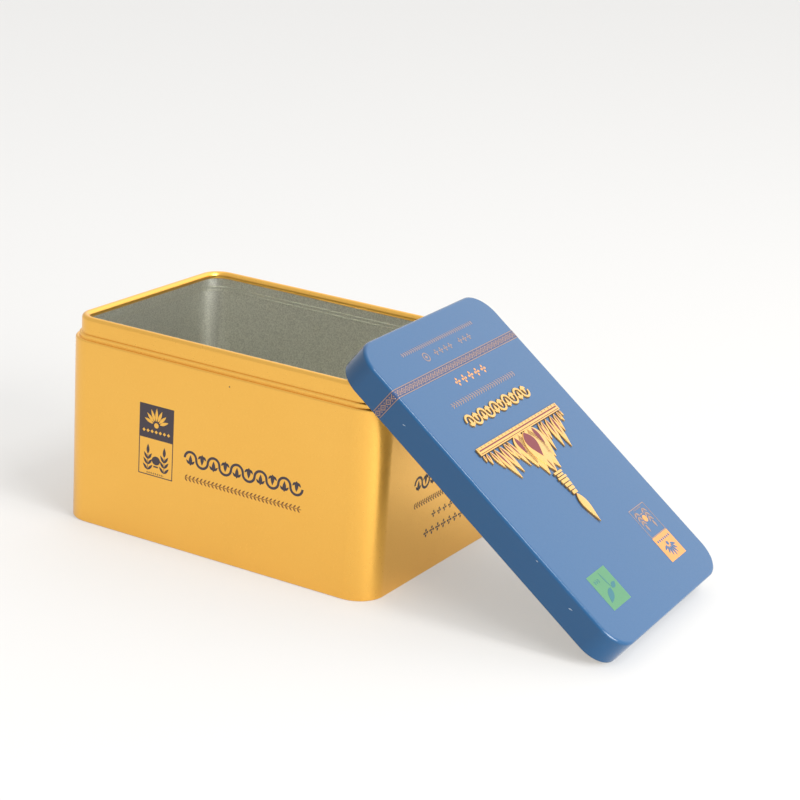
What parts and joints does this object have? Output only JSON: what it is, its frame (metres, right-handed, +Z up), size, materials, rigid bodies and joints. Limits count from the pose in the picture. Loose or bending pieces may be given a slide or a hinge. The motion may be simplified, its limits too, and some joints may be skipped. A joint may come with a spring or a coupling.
{
  "type": "lithographed tin",
  "caption": "Rectangular slip-lid tin of printed tinplate, standing open, with its separate lid leaning on one end of the tin.",
  "frame": {"origin": "centre of the tin's base outline, on the plane that the tin stands on", "axes": "+Z up, +X along the tin's long side towards the leaning lid, -Y towards the printed front face"},
  "size_m": [0.2037, 0.0867, 0.0811],
  "materials": {
    "gold_litho": "satin gold lithograph ink over tinplate, bare tinplate inside",
    "bare_tinplate": "bare grainy tinplate",
    "blue_litho": "satin blue lithograph ink over tinplate, bare tinplate inside"
  },
  "bodies": {
    "tin": {"body_wall": "gold_litho", "base_panel": "bare_tinplate"},
    "lid": {"lid": "blue_litho"}
  },
  "joints": [
    {"name": "lid_lift", "type": "slide", "parent": "tin", "child": "lid", "axis": [0, 0, 1], "range_m": [0, 0.12]}
  ]
}
